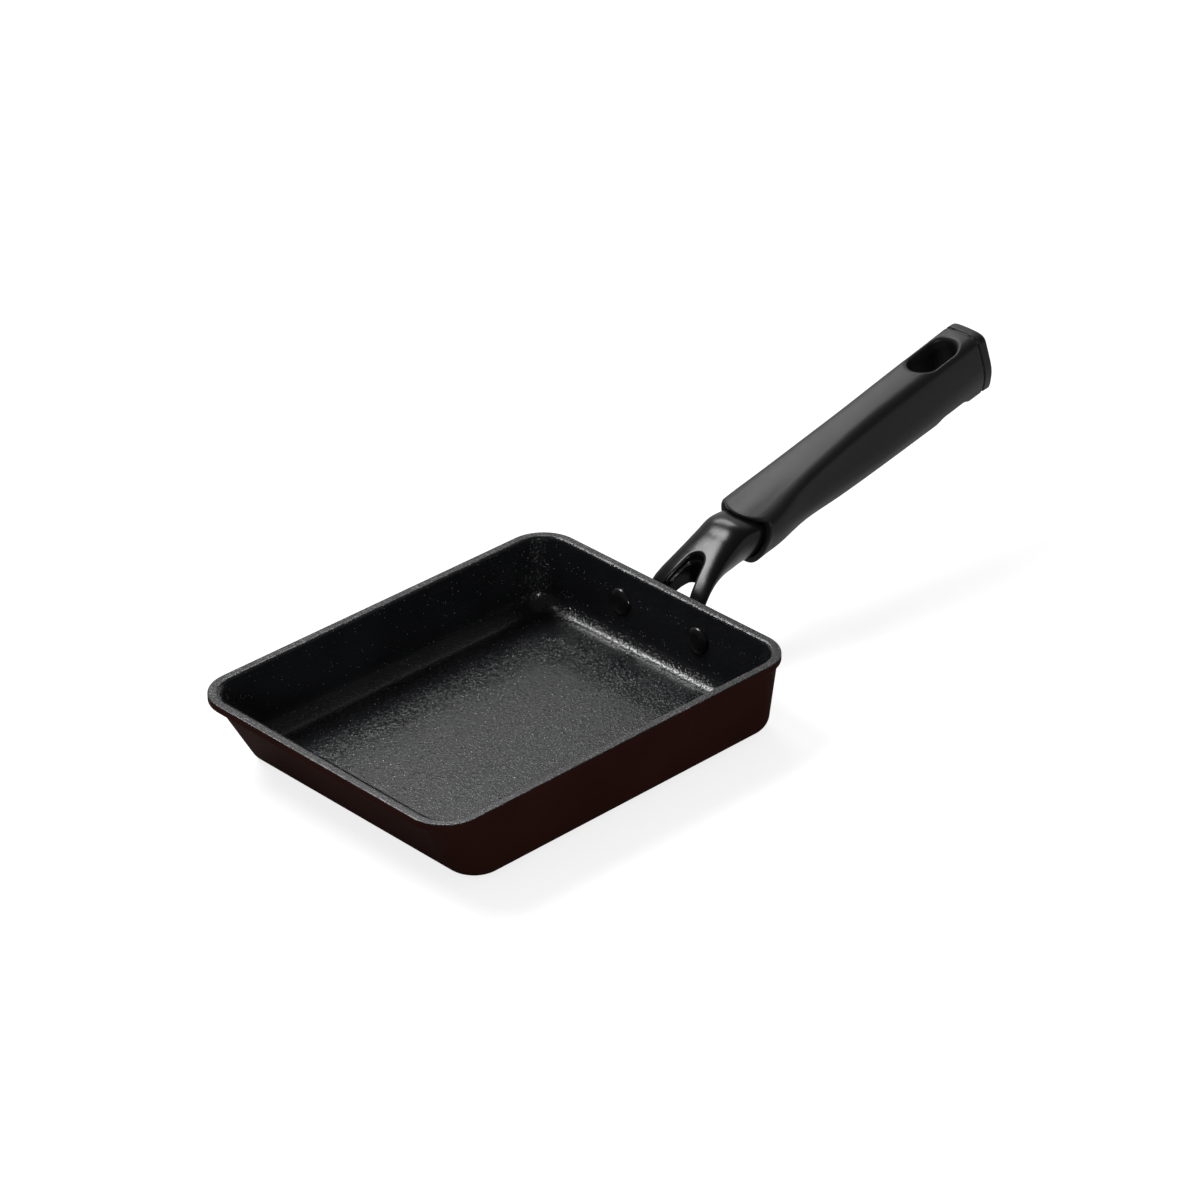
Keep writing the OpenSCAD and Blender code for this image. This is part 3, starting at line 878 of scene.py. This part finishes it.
    def inner_faces(self, piece: bpy.types.Object, points: Array) -> Array:
        """Numbers of the faces whose corners all lie on the rim's top or inside the body.

        Args:
            piece: The welded shell.
            points: Corners of the rings on the rim's top and inside, in millimetres.

        Returns:
            Face numbers, found by matching the welded corners to those points.
        """
        mesh = piece.data
        corner = np.zeros(3 * len(mesh.vertices), np.float32)
        mesh.vertices.foreach_get("co", corner)
        corner = np.round(corner.reshape(-1, 3) / MM, 2)
        wanted = np.unique(np.round(points.astype(np.float32), 2), axis=0)
        key = np.array([1.0, 1e3, 1e6])
        member = np.isin(np.round(corner @ key, 1), np.round(wanted @ key, 1))
        starts = np.zeros(len(mesh.polygons), np.int32)
        totals = np.zeros(len(mesh.polygons), np.int32)
        mesh.polygons.foreach_get("loop_start", starts)
        mesh.polygons.foreach_get("loop_total", totals)
        loops = np.zeros(len(mesh.loops), np.int32)
        mesh.loops.foreach_get("vertex_index", loops)
        hits = np.add.reduceat(member[loops].astype(int), starts)
        return np.flatnonzero(hits == totals)

    def base_extent(self) -> tuple[float, float, float]:
        """Half length and half width of the base plate, and the x of its centre, from its node."""
        low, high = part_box("base_plate")
        return (high.x - low.x) / 2 / MM, (high.y - low.y) / 2 / MM, (high.x + low.x) / 2 / MM

    def build_base(self, steel: bpy.types.Material) -> None:
        """Builds the base plate with a small bevel on its lower edge."""
        s = self.size
        x, y, shift = self.base_extent()
        bevel = 0.35
        inset = np.array([0.0, 0.0, 0.0, 0.05, bevel, bevel + 0.4])
        z = np.array([s.base_thickness, s.base_thickness - 0.1, bevel + 0.1, bevel * 0.6, 0.0, 0.0])
        rings = self.outline(shift - x + inset, shift + x - inset, y - inset, s.base_corner - inset, z)
        shares = (0.0, 0.5, 0.97)
        closed = np.concatenate(
            [closing_rings(rings[0], shares), rings, closing_rings(rings[-1], shares[::-1])]
        )
        dress(loft_piece("base_disc", closed), Slot.BASE, (steel,), "base_plate")


@dataclass
class Rivets:
    """The two rivets with domed heads inside the pan and formed heads on the bracket's foot."""

    body: BodySize = field(default_factory=BodySize)
    size: RivetSize = field(default_factory=RivetSize)
    foot_t: float = 3.0

    def dome(self, radius: float, height: float, turns: int = 18) -> Array:
        """Profile of a domed head from its pole to its edge.

        The radius is R sin t and the height h cos(t)^0.8, so the dome is flat on top and comes down
        steeply at its edge.
        """
        t = np.linspace(0, math.pi / 2, turns)
        return np.stack([radius * np.sin(t), height * np.cos(t).clip(0) ** 0.8], 1)

    def build(self, finish: bpy.types.Material) -> None:
        """Builds both rivets as one piece: head, shank and tail as one turned profile each."""
        s, r = self.body, self.size
        a = math.radians(s.handle_draft)
        z = s.height - r.drop
        axis = np.array([math.cos(a), 0.0, -math.sin(a)])
        head = self.dome(r.head_r, r.head_h)
        tail = self.dome(r.tail_r, r.tail_h)[::-1]
        head_rows = np.stack([head[:, 0], -s.wall - head[:, 1]], 1)
        tail_rows = np.stack([tail[:, 0], self.foot_t + tail[:, 1]], 1)
        shank = np.array([[r.shank_r, -s.wall], [r.shank_r, self.foot_t]])
        profile = np.concatenate([head_rows, shank, tail_rows])
        groups, faces = [], []
        for number, sy in enumerate((1, -1)):
            rings = revolve(profile, np.array([s.wall_x(z), sy * r.half_spacing, z]), axis)
            faces.append(ring_faces(*rings.shape[:2]) + number * rings[..., 0].size)
            groups.append(rings.reshape(-1, 3))
        piece = mesh_piece("rivet_pair", np.concatenate(groups), np.concatenate(faces), weld=True)
        dress(piece, Slot.RIVET, (finish,), "rivets")


@dataclass
class Casting:
    """The bracket's casting as a form: superellipse sections along a curved top line."""

    body: BodySize = field(default_factory=BodySize)
    size: BracketSize = field(default_factory=BracketSize)
    grip: GripSize = field(default_factory=GripSize)

    def __post_init__(self) -> None:
        """Works out the rows between the stations once."""
        g = self.grip
        c, s = cos_sin(g.tilt)
        n = -g.lip_t - g.clearance
        before_mouth, steps = -1.0, 8
        first, last = (
            (g.reach + u * c - n * s, g.rise + u * s + n * c, g.tilt, *self.size.neck)
            for u in (before_mouth, g.seat_depth)
        )
        self.rows = np.concatenate([spline_rows(np.array([*self.size.stations, first]), steps), [last]])

    def tang_n(self) -> float:
        """Height of the tang's middle above the grip's top line."""
        return -self.grip.lip_t - self.grip.clearance - (self.size.neck[1] + self.size.neck[2]) / 2

    def at(self, x: Array, z: Array) -> tuple[Array, Array, Array, Array, Array]:
        """Looks up the section through a point of the side view.

        Each row is a line square to its tilt. The point lies between the last row that it is past
        and the next, and the values between the two are in proportion to its distances from them.

        Args:
            x: Part coordinate along the pan.
            z: Height.

        Returns:
            Half width, crown, belly, height above the parting line, and distance past either end.
        """
        rows = self.rows
        dx = np.asarray(x - self.body.rim_x())[..., None]
        dz = np.asarray(z - self.body.height)[..., None]
        tilt = np.radians(rows[:, 2])
        ahead = (dx - rows[:, 0]) * np.cos(tilt) + (dz - rows[:, 1]) * np.sin(tilt)
        i = np.clip((ahead > 0).sum(-1) - 1, 0, len(rows) - 2)
        near = np.take_along_axis(ahead, i[..., None], -1)[..., 0]
        far = np.take_along_axis(ahead, i[..., None] + 1, -1)[..., 0]
        share = np.clip(near / np.maximum(near - far, 1e-6), 0, 1)
        value = rows[i] + share[..., None] * (rows[i + 1] - rows[i])
        a = np.radians(value[..., 2])
        above_top = (dz[..., 0] - value[..., 1]) * np.cos(a) - (dx[..., 0] - value[..., 0]) * np.sin(a)
        past = np.maximum(ahead[..., -1], -ahead[..., 0])
        return value[..., 3], value[..., 4], value[..., 5], above_top + value[..., 4], past

    def form(self, x: Array, y: Array, z: Array) -> Array:
        """About the distance to the casting.

        With v = (|y / w|^p + |h / c|^p)^(1 / p), the distance is (v - 1) / |grad v|, where c and p
        belong to the crown above the parting line and to the belly below it.
        """
        half, crown, belly, height, past = self.at(x, z)
        upper = height > 0
        tall = np.where(upper, crown, belly)
        power = np.where(upper, self.size.crown_power, self.size.belly_power)
        a = np.abs(y) / half + 1e-4
        b = np.abs(height) / tall + 1e-4
        v = (a**power + b**power) ** (1 / power)
        slope = np.hypot((a / v) ** (power - 1) / half, (b / v) ** (power - 1) / tall)
        return np.maximum((v - 1) / slope, past)


@dataclass
class Bracket:
    """The cast bracket: foot with two ears, open fork, neck and tang."""

    casting: Casting = field(default_factory=Casting)
    rivets: RivetSize = field(default_factory=RivetSize)
    pitch: float = 0.5

    def slot(self, x: Array, y: Array, grow: Array) -> Array:
        """Distance to the fork's through slot: a round end with two straight sides that open out.

        The sides leave the circle at the angle whose tangent line meets the root's half width.
        """
        b, s = self.casting.size, self.casting.body
        start = s.wall_x(s.height) + b.foot_t
        centre = s.rim_x() + b.slot_reach
        run = centre - start
        a = 0.0
        for _ in range(12):
            a = math.atan((b.slot_root - b.slot_end_r / math.cos(a)) / run)
        along = (centre - x) * math.cos(a) + np.abs(y) * math.sin(a)
        flank = np.abs(y) * math.cos(a) - (centre - x) * math.sin(a) - b.slot_end_r
        around = np.hypot(x - centre, y) - b.slot_end_r
        return np.maximum(np.where(along > 0, flank, around) - grow, start - x)

    def form(self, x: Array, y: Array, z: Array) -> Array:
        """The bracket without its tang.

        Casting and foot are joined with a soft fillet, cut flat at the pan wall, and opened by the
        slot, which steps out by the parting step above the parting line.
        """
        b, s, r = self.casting.size, self.casting.body, self.rivets
        a = math.radians(s.handle_draft)
        seat_z = s.height - r.drop
        dx, dz = x - s.wall_x(seat_z), z - seat_z
        out = dx * math.cos(a) - dz * math.sin(a)
        up = dx * math.sin(a) + dz * math.cos(a)
        ears = np.hypot(np.maximum(np.abs(y) - r.half_spacing, 0.0), up) - b.ear_r
        foot = smooth_max(ears, out - b.foot_t, b.foot_round)
        whole = smooth_min(self.casting.form(x, y, z), foot, b.foot_blend)
        grow = b.parting_step * step(-0.2, 0.2, self.casting.at(x, z)[3])
        opened = smooth_max(whole, -self.slot(x, y, grow), b.slot_round)
        return smooth_max(opened, -out, b.seat_round)

    def build(self, finish: bpy.types.Material) -> None:
        """Builds the bracket, with its tang as a bar that starts inside the neck."""
        s, g = self.casting.body, self.casting.grip
        low = (s.wall_x(s.height) - 5.0, -31.0, s.height - 24.0)
        high = (s.rim_x() + g.reach + 9.0, 31.0, s.height + g.rise + 2.0)
        points, faces = implicit_mesh(self.form, low, high, self.pitch)
        wide, tall, long = g.tang
        middle = self.casting.tang_n()
        u = g.seat_depth + np.array([-4.0, -4.0, long - 1.0, long, long])
        grow = np.array([0.0, 1.0, 1.0, 0.86, 0.0])
        t = np.linspace(0, 2 * math.pi, 48, endpoint=False)
        squareness = 0.25
        bar_y = wide / 2 * np.sign(np.cos(t)) * np.abs(np.cos(t)) ** squareness
        bar_n = tall / 2 * np.sign(np.sin(t)) * np.abs(np.sin(t)) ** squareness
        x, z = g.to_part(u[:, None], middle + grow[:, None] * bar_n, s.rim_x(), s.height)
        rings = np.stack([x, grow[:, None] * bar_y, z], -1)
        tang_faces = ring_faces(*rings.shape[:2]) + len(points)
        points, faces = np.concatenate([points, rings.reshape(-1, 3)]), np.concatenate([faces, tang_faces])
        piece = mesh_piece("bracket_casting", points, faces, weld=True)
        dress(piece, Slot.BRACKET, (finish,), "bracket")


@dataclass
class Grip:
    """The moulded grip with its lip, hanging slot and screw recess, its end cap and its screw."""

    casting: Casting = field(default_factory=Casting)
    pitch: float = 0.5
    angles: int = 1440

    def __post_init__(self) -> None:
        """Works out the rows between the stations once."""
        self.size = self.casting.grip
        self.rows = spline_rows(np.array(self.size.stations), 12)
        ring = np.stack([self.section(row) for row in self.rows])
        off = ring - np.array([0.0, self.size.centre_n])
        angle, radius = np.arctan2(off[..., 1], off[..., 0]), np.hypot(off[..., 0], off[..., 1])
        grid = np.linspace(-math.pi, math.pi, self.angles, endpoint=False)
        self.radius = np.stack([np.interp(grid, a, r, period=2 * math.pi) for a, r in zip(angle, radius)])
        turn = (np.roll(self.radius, -1, 1) - np.roll(self.radius, 1, 1)) / (2 * (grid[1] - grid[0]))
        self.square = self.radius / np.hypot(self.radius, turn)

    def section(self, row: Array, fine: int = 10) -> Array:
        """Cross-section of a row as a ring of half width and height.

        Each corner of the eleven-sided outline is replaced by a quadratic curve that starts up to
        edge_r before it: (1 - t)^2 from + 2 t (1 - t) corner + t^2 to. The straights between are
        divided finely.
        """
        side = row[2:12].reshape(5, 2)
        corners = np.concatenate([side, side[::-1] * [-1, 1], [[0.0, row[1]]]])
        before, after = np.roll(corners, 1, 0) - corners, np.roll(corners, -1, 0) - corners
        most = 0.48

        def start(way: Array) -> Array:
            """Where the curve leaves the straight towards one neighbour."""
            return corners + way * np.minimum(self.size.edge_r / np.linalg.norm(way, axis=1), most)[:, None]

        t = np.linspace(0, 1, fine)[:, None, None]
        enter, leave = start(before), start(after)
        curve = (1 - t) ** 2 * enter + 2 * t * (1 - t) * corners + t**2 * leave
        straight = leave + t[1:-1] * (np.roll(enter, -1, 0) - leave)
        return np.concatenate([curve, straight]).transpose(1, 0, 2).reshape(-1, 2)

    def shape(self, u: Array, y: Array, n: Array) -> Array:
        """About the distance to the lofted grip.

        The sections are read as a radius over the angle about a centre line, and the radial gap is
        multiplied by the cosine of the outline's slope there.
        """
        share = np.clip(u / self.size.length, 0, 1)
        along = np.interp(share, self.rows[:, 0], np.arange(len(self.rows)))
        off = n - self.size.centre_n
        angle = (np.arctan2(off, y) / (2 * math.pi) + 0.5) * self.angles
        i = np.clip(along.astype(int), 0, len(self.rows) - 2)
        j = np.floor(angle).astype(int)
        f, g = along - i, angle - j
        j0, j1 = j % self.angles, (j + 1) % self.angles

        def look(table: Array) -> Array:
            """Value of a table between its four neighbouring entries."""
            first = table[i, j0] * (1 - g) + table[i, j1] * g
            second = table[i + 1, j0] * (1 - g) + table[i + 1, j1] * g
            return first * (1 - f) + second * f

        return (np.hypot(off, y) - look(self.radius)) * look(self.square)

    def form(self, u: Array, y: Array, n: Array) -> Array:
        """The grip in its own frame.

        The loft ends at an upright mouth face, over which a lip with a round front edge stands out,
        and at the rear plane. The neck's seat, the chamfered hanging slot and the screw recess are
        cut from it.
        """
        g, pan = self.size, self.casting.body
        c, s = cos_sin(g.tilt)
        upright = n * s - u * c
        front = np.hypot(u - g.lip_r + g.lip_reach, y) - g.lip_r
        lip = smooth_max(front, -g.lip_t - n, g.lip_round)
        body = smooth_max(self.shape(u, y, n), smooth_min(upright, lip, g.lip_blend), g.mouth_round)
        body = smooth_max(body, u - g.length, g.rear_round)
        x, z = g.to_part(u, n, pan.rim_x(), pan.height)
        seat = self.casting.form(x, y, z) - g.clearance
        body = smooth_max(body, -seat, g.cut_round)
        far_end = g.length - g.hang_from_rear
        middle, half = far_end - g.hang_l / 2, (g.hang_l - g.hang_w) / 2
        slot = np.hypot(np.maximum(np.abs(u - middle) - half, 0.0), y) - g.hang_w / 2
        chamfer = (body - slot + g.hang_chamfer) * math.sqrt(0.5)
        body = smooth_max(smooth_max(body, -slot, g.hang_round), chamfer, g.chamfer_round)
        bore = np.hypot(u - g.seat_depth - g.screw_back, y) - g.screw_head_r - g.clearance
        return smooth_max(body, -np.maximum(bore, n - self.screw_seat()), g.cut_round)

    def screw_seat(self) -> float:
        """Height of the screw head's seat above the top line."""
        g = self.size
        return self.casting.tang_n() - g.tang[1] / 2 - g.screw_land

    def placed(self, points: Array) -> Array:
        """Grip coordinates turned into the part's."""
        s = self.casting.body
        x, z = self.size.to_part(points[..., 0], points[..., 2], s.rim_x(), s.height)
        return np.stack([x, points[..., 1], z], -1)

    def build_grip(self, finish: bpy.types.Material) -> None:
        """Builds the grip."""
        g = self.size
        low = (-g.lip_reach - 2.0, -16.5, -30.0)
        high = (g.length + 1.5, 16.5, 3.5)
        points, faces = implicit_mesh(self.form, low, high, self.pitch)
        piece = mesh_piece("grip_moulding", self.placed(points), faces, weld=True)
        dress(piece, Slot.GRIP, (finish,), "grip")

    def build_cap(self, finish: bpy.types.Material) -> None:
        """Builds the cap: the rear section lofted from the groove to a rounded and lower rear edge."""
        g = self.size
        ring = self.section(self.rows[-1], 9)
        tangent = np.roll(ring, -1, 0) - np.roll(ring, 1, 0)
        normal = np.stack([tangent[:, 1], -tangent[:, 0]], 1) / np.linalg.norm(tangent, axis=1)[:, None]
        normal *= np.sign((normal * (ring - ring.mean(0))).sum(1))[:, None]
        edge, soft, straight, short = 1.4, 0.45, 0.4, 0.06
        end = g.cap_l - short
        turn = np.linspace(0, math.pi / 2, 7)
        rows = [(0.0, g.groove), (g.groove_w, g.groove)]
        rows += [(g.groove_w + soft - soft * math.cos(a), soft - soft * math.sin(a)) for a in turn]
        rows += [(g.groove_w + soft + straight, 0.0), (end - edge - straight, 0.0)]
        rows += [(end - edge + edge * math.sin(a), edge - edge * math.cos(a)) for a in turn]
        along, inset = np.array(rows).T
        flat = ring - inset[:, None, None] * normal
        fall_from = (g.groove_w, g.cap_l - edge, g.cap_l - edge / 3)
        fall = np.interp(along, fall_from, (0.0, g.cap_drop * 2 / 3, g.cap_drop))
        flat[..., 1] -= fall[:, None]
        u = np.broadcast_to(g.length + along[:, None, None], (*flat.shape[:2], 1))
        rings = np.concatenate([u, flat], -1)
        front, rear = closing_rings(rings[0], (0.0, 0.9)), closing_rings(rings[-1], (0.9, 0.45, 0.0))
        rings = np.concatenate([front, rings, rear])
        dress(loft_piece("grip_cap", self.placed(rings)), Slot.CAP, (finish,), "end_cap")

    def build_screw(self, finish: bpy.types.Material) -> None:
        """Builds the screw: a pan head with a six-sided socket, over its shank."""
        g = self.size
        head_r, head_h = g.screw_head_r, g.screw_head_h
        socket, bevel, shank = 2.0, 0.15, 9.0
        six_sided = [[0.0, -0.9], [socket * 0.98, -0.9], [socket, -1.0], [socket, -head_h + bevel]]
        round_part = [
            [socket + bevel, -head_h], [head_r - 0.9, -head_h], [head_r - 0.3, -head_h + 0.2],
            [head_r, -head_h + 0.8], [head_r, 0.0],
            [g.screw_r, 0.0], [g.screw_r, shank - 1.0], [g.screw_r - 0.6, shank], [0.0, shank],
        ]
        profile = np.array([*six_sided, *round_part])
        t = np.linspace(0, 2 * math.pi, 72, endpoint=False)
        six = math.cos(math.pi / 6) / np.cos(np.mod(t, math.pi / 3) - math.pi / 6)
        in_socket = np.arange(len(profile))[:, None] < len(six_sided)
        radius = profile[:, :1] * np.where(in_socket, six, 1.0)
        u = g.seat_depth + g.screw_back + radius * np.cos(t)
        n = np.broadcast_to(self.screw_seat() + profile[:, 1:], u.shape)
        rings = self.placed(np.stack([u, radius * np.sin(t), n], -1))
        dress(loft_piece("grip_fixing", rings), Slot.SCREW, (finish,), "grip_screw")


@dataclass(frozen=True)
class SoftLight:
    """A rectangular soft light that looks at the pan."""

    name: str
    place: tuple[float, float, float]
    size: tuple[float, float]
    power: float

    def hang(self, target: Vector) -> None:
        """Adds the light and points it at the target."""
        lamp = bpy.data.lights.new(self.name, "AREA")
        lamp.shape = "RECTANGLE"
        lamp.size, lamp.size_y = self.size
        lamp.energy = self.power
        holder = linked(self.name, lamp)
        holder.location = self.place
        holder.rotation_euler = (target - Vector(self.place)).to_track_quat("-Z", "Y").to_euler()


@dataclass
class Studio:
    """White floor and backdrop, soft lights and the camera."""

    lens: float = 141.06
    sensor: float = 36.0
    azimuth: float = -44.3
    elevation: float = 30.0
    distance: float = 1.821
    target: tuple[float, float, float] = (0.05753, 0.0110, 0.034)
    aim: tuple[float, float, float] = (0.03, 0.0, 0.03)
    daylight: float = 0.45
    room: float = 0.12
    fade: tuple[float, float] = (0.25, 0.8)
    floor_half: float = 4.0
    floor_shade: float = 0.36
    floor_seen: float = 0.79
    floor_mirrored: float = 0.08
    lights: tuple[SoftLight, ...] = (
        SoftLight("key softbox", (-0.38, 0.815, 1.335), (0.7, 0.42), 18.0),
        SoftLight("back softbox", (0.54, 0.935, 1.09), (0.6, 0.3), 5.2),
        SoftLight("front strip", (-0.55, -1.2, 0.25), (0.14, 0.14), 3.6),
    )

    def rays(self, sheet: Sheet) -> tuple[Value, Value]:
        """Two masks: rays straight from the camera, and rays that come by gloss or through glass."""
        path = sheet.node("ShaderNodeLightPath")
        kinds = ("Is Camera Ray", "Is Glossy Ray", "Is Transmission Ray")
        camera, glossy, through = (Value(sheet, path.outputs[kind]) for kind in kinds)
        return camera, glossy.larger(through)

    def build_floor(self) -> None:
        """Adds the floor: white where it is seen, with the pan's soft shadow kept."""
        far = self.floor_half
        mesh = bpy.data.meshes.new("floor")
        mesh.from_pydata([(-far, -far, 0), (far, -far, 0), (far, far, 0), (-far, far, 0)], [], [(0, 1, 2, 3)])
        floor = linked("floor", mesh)
        sheet = Sheet("studio floor")
        camera, glossy = self.rays(sheet)
        matt = sheet.node("ShaderNodeBsdfDiffuse", {}, {"Color": (*[self.floor_shade] * 3, 1.0)})
        strength = camera * self.floor_seen + glossy * self.floor_mirrored
        glow = sheet.node("ShaderNodeEmission", {}, {"Color": (1.0, 1.0, 1.0, 1.0), "Strength": strength})
        both = sheet.node("ShaderNodeAddShader", {}, {0: matt.outputs[0], 1: glow.outputs[0]})
        sheet.node("ShaderNodeOutputMaterial", {}, {"Surface": both.outputs[0]})
        mesh.materials.append(sheet.material)

    def build_world(self) -> None:
        """Sets the world: white where it is seen, a plain grey where it lights the pan.

        Gloss sees the white backdrop too. Towards the room in front of it, behind the camera, the
        white fades to grey.
        """
        world = bpy.data.worlds.new("studio")
        world.use_nodes = True
        bpy.context.scene.world = world
        sheet = Sheet("studio", world)
        camera, glossy = self.rays(sheet)
        way = sheet.node("ShaderNodeTexCoord").outputs["Generated"]
        cos_az, sin_az = cos_sin(self.azimuth)
        back = (-sin_az, cos_az, 0.0)
        facing = sheet.node("ShaderNodeVectorMath", {"operation": "DOT_PRODUCT"}, {0: way, 1: back})
        backdrop = Value(sheet, facing.outputs["Value"]).ramp(*self.fade) * (1 - self.room) + self.room
        gloss = glossy * backdrop + (1 - glossy) * self.daylight
        level = camera + (1 - camera) * gloss
        sky = sheet.node("ShaderNodeBackground", {}, {"Strength": level})
        sheet.node("ShaderNodeOutputWorld", {}, {"Surface": sky.outputs[0]})

    def build_camera(self) -> None:
        """Adds the camera: target plus distance along (sin az cos el, -cos az cos el, sin el)."""
        (cos_az, sin_az), (cos_el, sin_el) = cos_sin(self.azimuth), cos_sin(self.elevation)
        back = Vector((sin_az * cos_el, -cos_az * cos_el, sin_el))
        lens = bpy.data.cameras.new("camera")
        lens.lens, lens.sensor_width = self.lens, self.sensor
        camera = linked("camera", lens)
        camera.location = Vector(self.target) + back * self.distance
        camera.rotation_euler = (-back).to_track_quat("-Z", "Y").to_euler()
        bpy.context.scene.camera = camera

    def build(self) -> None:
        """Builds the whole studio."""
        self.build_floor()
        self.build_world()
        self.build_camera()
        for light in self.lights:
            light.hang(Vector(self.aim))
        bpy.context.scene.view_settings.view_transform = "Standard"


def main() -> None:
    """Builds the studio and the pieces in order."""
    logging.basicConfig(level=logging.INFO, format="%(name)s: %(message)s")
    Studio().build()
    body = Body()
    body.build_shell(SpeckledCoating().make(), OuterCoating().make())
    body.build_base(BrushedSteel("brushed base steel").make())
    Rivets().build(Enamel("coated rivet", roughness=0.22, wave=0.02).make())
    casting = Casting()
    Bracket(casting).build(Enamel("bracket enamel", roughness=0.22, specular=0.27).make())
    grip = Grip(casting)
    grip.build_grip(MouldedPlastic("moulded grip").make())
    grip.build_cap(MouldedPlastic("moulded cap").make())
    grip.build_screw(BrushedSteel("screw steel", stretch=(1.0, 1.0, 1.0)).make())


if __name__ == "__main__":
    main()
